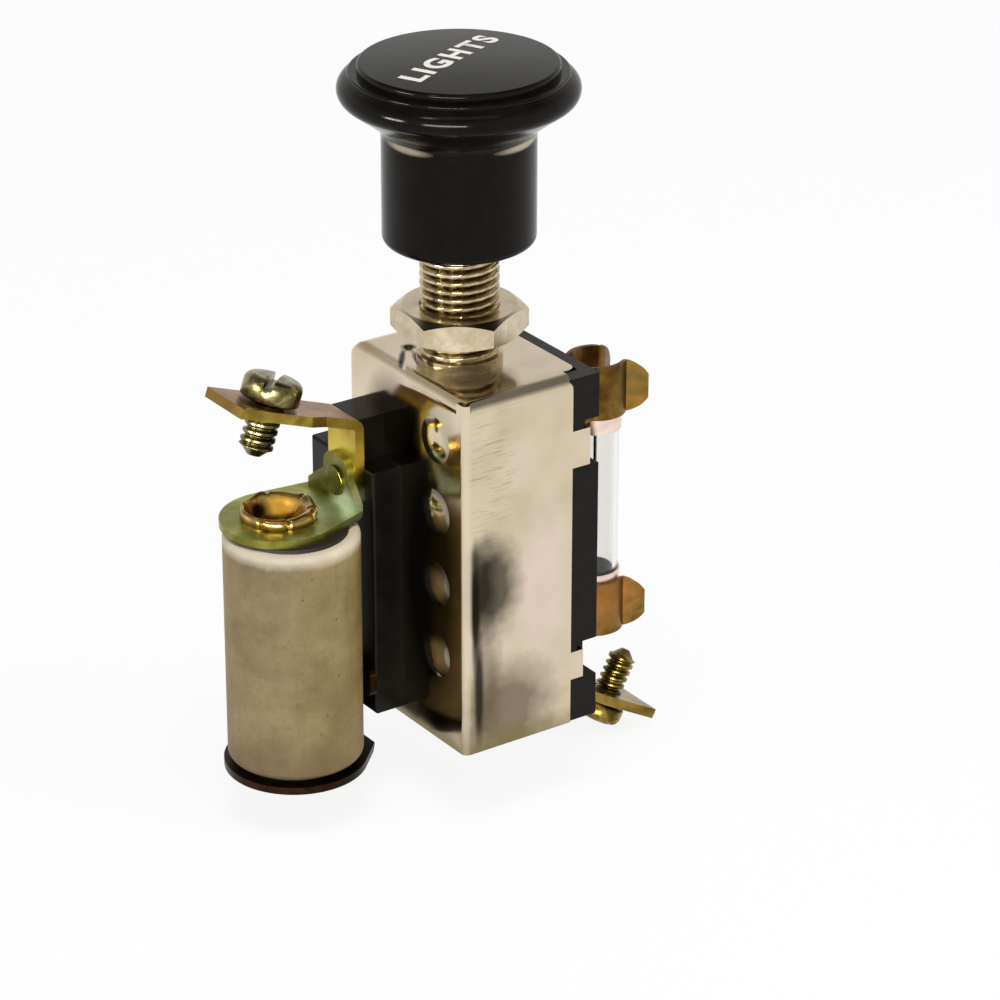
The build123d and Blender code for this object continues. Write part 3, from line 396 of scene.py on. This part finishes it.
# a gold tone on the leg, a painted shadow of the bracket's tab on the leg, a pale painted highlight below
# it, and a brown patch near the tongue's end
terminal_tone_and_painted_light = (
    ((leg_x, leg_y, -11.4), (4.0, 8.0, 5.4), 0.9, "#d0b848"),
    ((leg_x, leg_y - 3.4, -13.8), (3.0, 3.0, 2.0), 0.9, "#2c2a14"),
    ((leg_x, leg_y - 3.4, -17.0), (3.0, 3.0, 2.4), 0.9, "#b8c8a4"),
    ((leg_x - 17.0, leg_y, -1.0), (2.2, 6.0, 3.0), 0.7, "#6e4a1c"),
)

paints = {
    "case": case_paint(),
    "turned": plated(
        "nickel_bushing",
        "#6a5836",
        "#b8a680",
        "#dccfae",
        rough=(0.12, 0.24),
        grime=0.55,
        root=(4.05, 4.45),
    ),
    "nut": plated("nickel_nut", "#948668", "#c2b493", "#ddd1b8", (0.14, 0.28), (6, 6, 6), 0.3),
    "knob": moulding("black_moulding", "#070605", "#110f0d", (0.08, 0.2), 0.5, 0.003, 0.11, hub_painted_reflections),
    "board": moulding("black_board", "#070606", "#110f0d", (0.24, 0.42), 0.3, 0.01, 0.16),
    "carriage": moulding("brown_moulding", "#2a160c", "#4a2c19", (0.3, 0.5), 0.35, 0.006, 0.3),
    "bracket": passivated(
        "bracket_zinc",
        ("#9ca048", "#b4b85c", "#c4cc8e", "#b8be78"),
        rough=(0.32, 0.44),
        marks=bracket_tone_and_painted_light,
        side=("#6c6a28", "#9a9a48"),
    ),
    # the lower bracket painted dark brown: painted shade
    "foot": passivated("lower_bracket_painted_shade", ("#1e140c", "#332214", "#281a10"), (0.3, 0.5), 4.0, "#0c0804"),
    "terminal": passivated(
        "terminal_zinc",
        ("#88693e", "#9c7046", "#a87c52", "#8a703a"),
        rough=(0.3, 0.42),
        side=("#74601f", "#a68e3c"),
        marks=terminal_tone_and_painted_light,
    ),
    "supply": passivated(
        "supply_zinc",
        ("#6a5420", "#8a7030", "#a08848", "#90704a"),
        rough=(0.26, 0.38),
        grime=0.15,
    ),
    "screw": passivated(
        "screw_zinc",
        ("#39341b", "#625b34", "#968d5e", "#56502c"),
        size=3.0,
        marks=shank_painted_shade,
    ),
    "brass_screw": passivated(
        "screw_brass",
        ("#3a3214", "#6a5a28", "#9a8440", "#544c20"),
        rough=(0.24, 0.38),
        size=2.6,
    ),
    "clip": passivated(
        "clip_bronze",
        ("#4c3414", "#6e4e22", "#80602c", "#605028"),
        rough=(0.3, 0.44),
        stain="#2e1c08",
        grime=0.35,
        marks=clip_marks,
    ),
    "cap": plated("cap_nickel", "#c4a890", "#ecd6c4", "#f8ece2", (0.2, 0.34), (5, 5, 2), 0.15),
    "eyelet": plated(
        "eyelet_brass",
        "#5c451a",
        "#96763c",
        "#c4a868",
        rough=(0.16, 0.3),
        grain=(2, 2, 2),
        marks=eyelet_painted_light,
    ),
    "brass": passivated("rivet_brass", ("#6b4a20", "#a07a3c", "#c9a35c", "#8a6430"), (0.22, 0.4), 2.0),
    "rivet": passivated("rivet_zinc", ("#545220", "#6c6a2c", "#827e38"), (0.2, 0.34), 2.0),
    "ceramic": ceramic_paint(),
    "glass": clear_glass(),
    "washer": plain("dark_fibre", "#15100b", 0.7),
    "steel": plain("shaft_steel", "#a8a59c", 0.3, 1.0),
    "copper": plain("contact_brass", "#a8713c", 0.34, 1.0),
    "fibre": plain("fibre", "#6b2a1c", 0.7),
    "wire": plain("resistance_wire", "#4a443e", 0.45, 1.0),
    "legend": plain("legend_white", "#ece8e0", 0.5, 0.0, 0.1),
}

node_paints = {
    "case": ["housing"],
    "nut": ["panel_nut"],
    "knob": ["knob"],
    "board": ["fuse_board", "resistor_board"],
    "carriage": ["carriage"],
    "bracket": ["resistor_bracket_upper"],
    "foot": ["resistor_bracket_lower"],
    "terminal": ["lamp_terminal"],
    "supply": ["supply_terminal"],
    "clip": ["fuse_clip_upper", "fuse_clip_lower"],
    "cap": ["fuse_cap_upper", "fuse_cap_lower"],
    "rivet": ["resistor_rivet_upper"],
    "brass": [
        "fuse_clip_rivet_upper",
        "fuse_clip_rivet_lower",
        "supply_terminal_rivet",
        "resistor_rivet_lower",
        "board_rivet_upper",
        "board_rivet_lower",
        "knob_insert",
    ],
    "ceramic": ["resistor_ceramic"],
    "washer": ["resistor_washer_upper", "resistor_washer_lower"],
    "glass": ["fuse_tube"],
    "steel": ["shaft", "detent_ball_lower", "detent_ball_upper", "detent_spring"],
    "copper": ["contact_bridge", "dim_contact", "bright_contact", "feed_rail", "supply_link"],
    "fibre": ["liner"],
    "wire": ["resistor_coil", "fuse_wire"],
}


def wear(obj, paint):
    """Gives an object one of the paints."""
    obj.data.materials.clear()
    obj.data.materials.append(paints[paint])
    return obj


for paint, names in node_paints.items():
    for name in names:
        wear(nodes[name], paint)


def linked(name, data):
    """A new object in the scene."""
    obj = bpy.data.objects.new(name, data)
    scene.collection.objects.link(obj)
    return obj


def dressed(name, mesh, paint, sharp_angle):
    """A painted, smooth piece with sharp creases."""
    mesh.shade_smooth()
    mesh.set_sharp_from_angle(angle=math.radians(sharp_angle))
    return wear(linked(name, mesh), paint)


def rectangle(name, half_wide, half_tall, level=0.0):
    """A flat rectangle about the Z axis, in metres."""
    corners = [(x * half_wide, y * half_tall, level) for x, y in ((-1, -1), (1, -1), (1, 1), (-1, 1))]
    mesh = bpy.data.meshes.new(name)
    mesh.from_pydata(corners, [], [(0, 1, 2, 3)])
    return mesh


def turned(name, place, rings, radius_at, segments, closed=False):
    """A turned piece: rings of (radius, height, share) in mm, and a rule that shapes each radius."""
    weld = 1e-7
    bm = bmesh.new()
    rows = []
    for radius, height, share in rings:
        row = []
        for i in range(segments):
            angle = 2 * math.pi * i / segments
            reach, level = radius_at(radius, height, share, angle)
            point = Vector((reach * math.cos(angle), reach * math.sin(angle), level)) * MM
            row.append(bm.verts.new(place @ point))
        rows.append(row)
    pairs = list(zip(rows, rows[1:]))
    if closed:
        pairs.append((rows[-1], rows[0]))
    for lower, upper in pairs:
        for i in range(segments):
            after = (i + 1) % segments
            bm.faces.new((lower[i], lower[after], upper[after], upper[i]))
    bmesh.ops.remove_doubles(bm, verts=bm.verts, dist=weld)
    bmesh.ops.recalc_face_normals(bm, faces=bm.faces)
    mesh = bpy.data.meshes.new(name)
    bm.to_mesh(mesh)
    bm.free()
    return mesh


def thread_rule(pitch, depth):
    """A radius rule that cuts a right-hand thread with flat crests and roots."""
    crest, flank = 0.34, 0.5

    def rule(radius, height, share, angle):
        """The radius where the groove winds past this height and angle."""
        phase = (height / pitch - angle / (2 * math.pi)) % 1
        groove = min(1, max(0, (1 - abs(2 * phase - 1) - crest) / flank))
        return radius - depth * share * groove, height

    return rule


def thread_rings(radius, low, high, pitch, fade=0.8):
    """Rings close enough to carry a thread, which fades out at both ends."""
    rings_a_turn = 16
    count = math.ceil((high - low) / pitch * rings_a_turn)
    rings = []
    for k in range(count + 1):
        height = low + (high - low) * k / count
        share = min(1, (height - low) / fade, (high - height) / fade)
        rings.append((radius, height, share))
    return rings


def placed(origin, axis, turn):
    """The place whose Z runs along an axis, turned about it by some degrees."""
    tilt = Vector((0, 0, 1)).rotation_difference(Vector(axis)).to_matrix().to_4x4()
    return Matrix.Translation(origin) @ tilt @ Matrix.Rotation(math.radians(turn), 4, "Z")


def bushing_piece():
    """The bushing with its real thread, collar, neck and staked foot."""
    top = nodes_box("bushing")[1][2]
    bottom = nodes_box("bushing")[0][2]
    sheet, stake, collar, collar_top = 0.8, 5.8, 5.2, 1.5
    outer, neck, bore, pitch, depth = 4.76, 4.2, 2.44, 1.06, 0.7
    chamfer, collar_edge, bore_edge, run_in = 0.6, 0.25, 0.3, 0.05
    rings = [(bore, bottom, 0), (stake, bottom, 0), (stake, -sheet, 0), (neck, -sheet, 0), (neck, 0, 0)]
    rings += [(collar, 0, 0), (collar, collar_top - collar_edge, 0), (outer, collar_top, 0)]
    rings += thread_rings(outer, collar_top + run_in, top - chamfer, pitch)
    rings += [(outer - chamfer, top, 0), (bore + bore_edge, top, 0), (bore, top - bore_edge, 0)]
    thread = thread_rule(pitch, depth)
    mesh = turned("bushing_thread", Matrix(), rings, thread, segments=128, closed=True)
    obj = dressed("bushing_thread", mesh, "turned", 50)
    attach(obj, "case")
    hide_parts("bushing")


def slotted(body, place, width, depth, length, top):
    """Saws a slot into the top of a screw's head, breaks its edges and gives back the finished mesh."""
    edge_break, edge_angle = 0.1, 55
    bm = bmesh.new()
    bmesh.ops.create_cube(bm, size=1)
    shape = Matrix.Diagonal((length, width, depth * 2, 1))
    middle = Matrix.Translation((0, 0, top * MM))
    scale = Matrix.Diagonal((MM, MM, MM, 1))
    bm.transform(place @ middle @ scale @ shape)
    mesh = bpy.data.meshes.new("slot_cutter")
    bm.to_mesh(mesh)
    bm.free()
    cutter = linked("slot_cutter", mesh)
    cut = body.modifiers.new("slot", "BOOLEAN")
    cut.operation = "DIFFERENCE"
    cut.solver = "EXACT"
    cut.object = cutter
    soften = body.modifiers.new("soften", "BEVEL")
    soften.width = edge_break * MM
    soften.segments = 2
    soften.limit_method = "ANGLE"
    soften.angle_limit = math.radians(edge_angle)
    graph = bpy.context.evaluated_depsgraph_get()
    finished = bpy.data.meshes.new_from_object(body.evaluated_get(graph))
    bpy.data.objects.remove(cutter)
    bpy.data.objects.remove(body)
    return finished


def screw_piece(name, node, mount, paint, dia, head_dia, head_height, length, lift, pitch, turn):
    """A slotted screw with a domed head and a real thread, along its mount's axis."""
    shank, head, head_top, tip = dia / 2, head_dia / 2, lift + head_height, lift - length
    rounding, crown, under_edge, steps = 1.1, 0.18, 0.15, 8
    thread_depth, slot_width, slot_depth, slot_length = 0.42, 1.15, 1.35, head_dia * 1.4
    tip_inset, tip_bulge, tip_edge, tip_height = 1.2, 0.05, 0.3, 1.0
    thread_low, thread_high, thread_fade = tip + 1.1, lift - 0.3, 0.5
    rings = [(0, tip, 0), (shank - tip_inset, tip + tip_bulge, 0), (shank - tip_edge, tip + tip_height, 0)]
    rings += thread_rings(shank, thread_low, thread_high, pitch, thread_fade)
    rings += [(shank, lift, 0), (head - under_edge, lift, 0), (head, lift + under_edge, 0)]
    for step in range(steps + 1):
        angle = math.radians(90 * step / steps)
        level = head_top - rounding * (1 - math.sin(angle))
        rings.append((head - rounding * (1 - math.cos(angle)), level, 0))
    for step in range(1, steps + 1):
        inward = 1 - step / steps
        rings.append(((head - rounding) * inward, head_top + crown * (1 - inward**2), 0))
    place = placed(mount["pos_m"], mount["axis"], turn)
    thread = thread_rule(pitch, thread_depth)
    blank = linked(name, turned(name, place, rings, thread, segments=72))
    mesh = slotted(blank, place, slot_width, slot_depth, slot_length, head_top + crown)
    obj = dressed(name, mesh, paint, 50)
    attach(obj, "case")
    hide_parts(node)


def eyelet_piece():
    """The brass eyelet: rolled and split rims on a thin tube, pressed to a funnel at the top."""
    low, high = nodes_box("resistor_eyelet")
    rim = (high[0] - low[0]) / 2
    top, bottom = high[2], low[2]
    tube, wall, roll = 3.7, 0.4, 0.7
    bore, bore_end = tube - wall, bottom + 2.4
    rolled_from, rolled_by, roll_steps = -20, 215, 14
    # the lip as (inset from the rim, drop), then the funnel as (radius, drop), down to the plain bore
    crown = ((0.15, 1.4), (0.02, 1.1), (0.0, 0.75), (0.1, 0.35))
    crown += ((0.32, 0.08), (0.6, 0.0), (0.9, 0.1), (1.15, 0.4))
    funnel = ((3.35, 0.85), (3.0, 1.5), (2.6, 2.3), (2.25, 3.1), (2.1, 3.8))
    plain_bore = ((2.5, 4.6), (bore, 5.8))
    rings = [(rim - inset, top - drop, 1) for inset, drop in crown]
    rings += [(radius, top - drop, 1) for radius, drop in funnel]
    rings += [(radius, top - drop, 0) for radius, drop in plain_bore]
    rings += [(bore, bore_end, 0)]
    for step in range(roll_steps + 1):
        angle = math.radians(rolled_from + rolled_by * step / roll_steps)
        rings.append((rim - roll - roll * math.cos(angle), bottom + roll - roll * math.sin(angle), 0))
    rings += [(tube, bottom + 2 * roll, 0), (tube, top - 2.2 * roll, 0)]
    splits = [math.radians(at) for at in (12, 78, 140, 210, 253, 318)]
    split_half_angle, split_inward, split_down = 0.05, 0.4, 0.45
    lean, lean_shift, still_radius = math.radians(152), 0.8, 2.6

    def rule(radius, height, share, angle):
        """Splits and ripples in the flare, and a funnel that leans; what has no share stays round."""
        if not share:
            return radius, height
        turns = [(angle - at + math.pi) % (2 * math.pi) - math.pi for at in splits]
        split = max(math.exp(-((turn / split_half_angle) ** 2)) for turn in turns)
        ripple = 0.1 * math.sin(5 * angle + 0.7) + 0.06 * math.sin(9 * angle)
        pull = max(0, (radius - still_radius) / (rim - still_radius))
        shift = lean_shift * max(0, 1 - pull) * math.cos(angle - lean)
        inward = pull * (split_inward * split - ripple)
        return radius - inward + shift, height - pull * (split_down * split - ripple)

    place = Matrix.Translation((eyelet_x * MM, eyelet_y * MM, 0))
    mesh = turned("eyelet_rolled", place, rings, rule, segments=144, closed=True)
    obj = dressed("eyelet_rolled", mesh, "eyelet", 60)
    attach(obj, "case")
    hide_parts("resistor_eyelet")


def legend_piece():
    """The function word LIGHTS, printed on the dome of the knob."""
    knob_top = nodes_box("knob")[1][2]
    dome, plateau, paint_lift = 0.35, 11.9, 0.03
    start, end, letter_height = Vector((-8.1, -3.9)), Vector((8.1, 3.3)), 3.0
    curve = bpy.data.curves.new("knob_legend", "FONT")
    curve.body = "LIGHTS"
    curve.size = 1.0
    curve.offset = 0.04
    curve.space_character = 1.25
    text = linked("knob_legend_text", curve)
    graph = bpy.context.evaluated_depsgraph_get()
    mesh = bpy.data.meshes.new_from_object(text.evaluated_get(graph))
    bpy.data.objects.remove(text)
    bm = bmesh.new()
    bm.from_mesh(mesh)
    bmesh.ops.subdivide_edges(bm, edges=bm.edges, cuts=1)
    left = min(v.co.x for v in bm.verts)
    width = max(v.co.x for v in bm.verts) - left
    tall = max(v.co.y for v in bm.verts)
    along = (end - start).normalized()
    across = Vector((-along.y, along.x))
    for vert in bm.verts:
        spot = start + along * ((vert.co.x - left) / width * (end - start).length)
        spot = spot + across * (vert.co.y / tall * letter_height)
        level = knob_top - dome * (spot.length / plateau) ** 2 + paint_lift
        vert.co = Vector((spot.x, spot.y, level)) * MM
    bm.to_mesh(mesh)
    bm.free()
    obj = wear(linked("knob_legend", mesh), "legend")
    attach(obj, "plunger")


bushing_piece()
screw_piece(
    "lamp_screw_thread",
    "lamp_terminal_screw",
    mounts["lamp_terminal"],
    "screw",
    dia=4.17,
    head_dia=7.2,
    head_height=2.9,
    length=6.9,
    lift=0.4,
    pitch=1.0,
    turn=45,
)
screw_piece(
    "supply_screw_thread",
    "supply_terminal_screw",
    mounts["supply_terminal"],
    "brass_screw",
    dia=3.5,
    head_dia=5.9,
    head_height=2.3,
    length=7.4,
    lift=0.5,
    pitch=0.9,
    turn=70,
)
eyelet_piece()
legend_piece()


def direction(heading, rise):
    """The way from the part towards a heading and a rise, in radians; a heading of 0 is -Y."""
    return Vector(
        (
            math.sin(heading) * math.cos(rise),
            -math.cos(heading) * math.cos(rise),
            math.sin(rise),
        )
    )


# Camera, fitted to the photograph: the target is the point in the middle of its frame, in metres
target = Vector((0.00397, -0.00277, -0.0186))
azimuth = math.radians(-34.88)
elevation = math.radians(25.1)
roll_angle = math.radians(0.11)
camera_distance = 0.5
focal_px = 4130
frame_px = 1000
away = direction(azimuth, elevation)
camera_data = bpy.data.cameras.new("camera")
camera_data.sensor_width = 36
camera_data.lens = camera_data.sensor_width * focal_px / frame_px
camera_data.clip_start = 0.01
camera = linked("camera", camera_data)
stand = Matrix.Translation(target + away * camera_distance)
facing = (-away).to_track_quat("-Z", "Y").to_matrix().to_4x4()
camera.matrix_world = stand @ facing @ Matrix.Rotation(roll_angle, 4, "Z")
scene.camera = camera


def seen_directly(tree, kinds):
    """1 for rays of the named kinds, else 0."""
    path = tree.nodes.new("ShaderNodeLightPath")
    total = path.outputs[kinds[0]]
    for kind in kinds[1:]:
        node = tree.nodes.new("ShaderNodeMath")
        node.operation = "MAXIMUM"
        tree.links.new(total, node.inputs[0])
        tree.links.new(path.outputs[kind], node.inputs[1])
        total = node.outputs[0]
    return total


def add_floor():
    """A wide white floor just under the lowest point. It keeps the soft shadow."""
    size, gap, share = 4.0, 0.0005, 0.88
    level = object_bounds()[0][2] - gap
    floor = linked("floor", rectangle("floor", size, size, level))
    mat = bpy.data.materials.new("floor")
    mat.use_nodes = True
    tree = mat.node_tree
    paper = tree.nodes["Principled BSDF"]
    paper.inputs["Base Color"].default_value = (0.92, 0.92, 0.92, 1)
    paper.inputs["Roughness"].default_value = 0.9
    paper.inputs["Specular IOR Level"].default_value = 0.1
    glow = tree.nodes.new("ShaderNodeEmission")
    part = tree.nodes.new("ShaderNodeMath")
    part.operation = "MULTIPLY"
    part.inputs[1].default_value = share
    rays = ["Is Camera Ray", "Is Glossy Ray", "Is Transmission Ray"]
    tree.links.new(seen_directly(tree, rays), part.inputs[0])
    blend = tree.nodes.new("ShaderNodeMixShader")
    tree.links.new(part.outputs[0], blend.inputs[0])
    tree.links.new(paper.outputs[0], blend.inputs[1])
    tree.links.new(glow.outputs[0], blend.inputs[2])
    tree.links.new(blend.outputs[0], tree.nodes["Material Output"].inputs["Surface"])
    floor.data.materials.append(mat)


def add_world():
    """A studio: white to the camera and the glass, a bright horizon and a dim ceiling to the rest."""
    horizon = (0.3, (0.95, 0.94, 0.92, 1))
    ceiling = (0.75, (0.22, 0.22, 0.22, 1))
    world = bpy.data.worlds.new("world")
    scene.world = world
    world.use_nodes = True
    tree = world.node_tree
    studio = tree.nodes["Background"]
    coord = tree.nodes.new("ShaderNodeTexCoord")
    split = tree.nodes.new("ShaderNodeSeparateXYZ")
    tree.links.new(coord.outputs["Generated"], split.inputs[0])
    fade = tree.nodes.new("ShaderNodeValToRGB")
    for element, (position, colour) in zip(fade.color_ramp.elements, (horizon, ceiling)):
        element.position = position
        element.color = colour
    tree.links.new(split.outputs["Z"], fade.inputs[0])
    tree.links.new(fade.outputs[0], studio.inputs["Color"])
    white = tree.nodes.new("ShaderNodeBackground")
    white.inputs["Color"].default_value = (1, 1, 1, 1)
    choose = tree.nodes.new("ShaderNodeMixShader")
    tree.links.new(seen_directly(tree, ["Is Camera Ray", "Is Transmission Ray"]), choose.inputs[0])
    tree.links.new(studio.outputs[0], choose.inputs[1])
    tree.links.new(white.outputs[0], choose.inputs[2])
    tree.links.new(choose.outputs[0], tree.nodes["World Output"].inputs["Surface"])


def aimed(obj, turn, rise, distance, height=0.0):
    """Places an object turned from the camera's side and risen by some degrees, aimed at the part."""
    way = direction(azimuth + math.radians(turn), math.radians(rise))
    obj.location = way * distance + Vector((0, 0, height))
    obj.rotation_euler = (-way).to_track_quat("-Z", "Y").to_euler()


def softbox(name, turn, rise, distance, size, watts):
    """An area light that the metal doesn't mirror."""
    data = bpy.data.lights.new(name, "AREA")
    data.shape = "RECTANGLE"
    data.size, data.size_y = size
    data.energy = watts
    obj = linked(name, data)
    obj.visible_glossy = False
    aimed(obj, turn, rise, distance)


def card(name, turn, rise, distance, height, size, strength):
    """A glowing card that only mirror rays see."""
    obj = linked(name, rectangle(name, size[0] / 2, size[1] / 2))
    mat = bpy.data.materials.new(name)
    mat.use_nodes = True
    tree = mat.node_tree
    glow = tree.nodes.new("ShaderNodeEmission")
    glow.inputs["Strength"].default_value = strength
    tree.links.new(glow.outputs[0], tree.nodes["Material Output"].inputs["Surface"])
    obj.data.materials.append(mat)
    obj.visible_camera = obj.visible_diffuse = obj.visible_shadow = False
    obj.visible_transmission = obj.visible_volume_scatter = False
    aimed(obj, turn, rise, distance, height)


add_floor()
add_world()
softbox("above", 0, 70, 0.8, (0.45, 0.3), 3.6)
softbox("right", 75, 35, 0.9, (0.3, 0.5), 1.8)
card("strip_front", -12, 1, 0.45, 0.014, (0.3, 0.06), 46)
card("strip_left", -60, 4, 0.45, 0.02, (0.14, 0.07), 55)
card("overhead", 10, 62, 0.6, 0.0, (0.5, 0.22), 1.3)
card("spark", -35, 52, 0.5, 0.0, (0.06, 0.06), 22)
